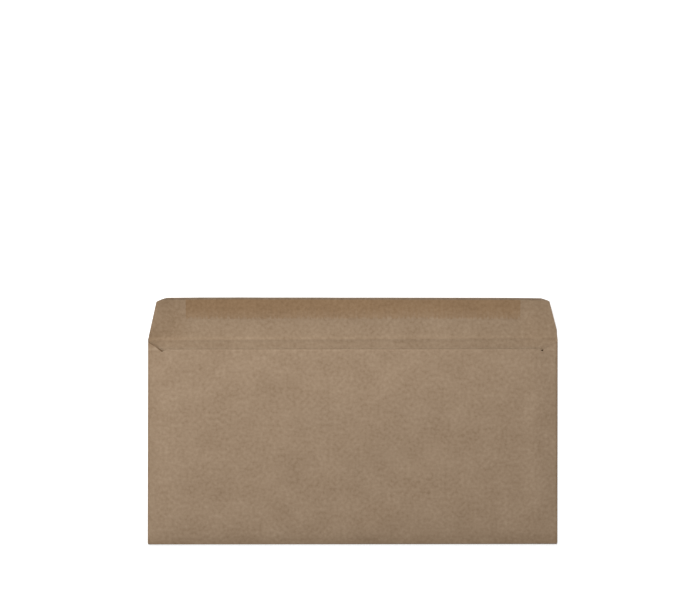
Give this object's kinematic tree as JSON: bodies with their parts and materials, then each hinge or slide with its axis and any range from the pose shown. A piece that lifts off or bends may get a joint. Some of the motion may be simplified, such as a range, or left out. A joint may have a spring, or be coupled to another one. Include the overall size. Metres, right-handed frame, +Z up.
{
  "type": "paper envelope",
  "caption": "Brown kraft paper envelope with an address window, a gummed flap lying open and a pocket folded from one sheet and glued at its side seams.",
  "frame": {"origin": "centre of the footprint, on the surface that the envelope lies on", "axes": "+X along the long side, +Y from the bottom fold towards the open flap, +Z up, out of the back"},
  "size_m": [0.22, 0.1324, 0.0029],
  "materials": {
    "kraft_paper": "matt",
    "film": "clear, slightly hazy",
    "glue": "dry, translucent",
    "gum": "dried gum, faint sheen"
  },
  "bodies": {
    "root": {"paper_sheet": "kraft_paper", "window_film": "film", "window_glue": "glue", "seam_glue_left": "glue", "seam_glue_right": "glue", "flap_gum": "gum"}
  },
  "joints": []
}
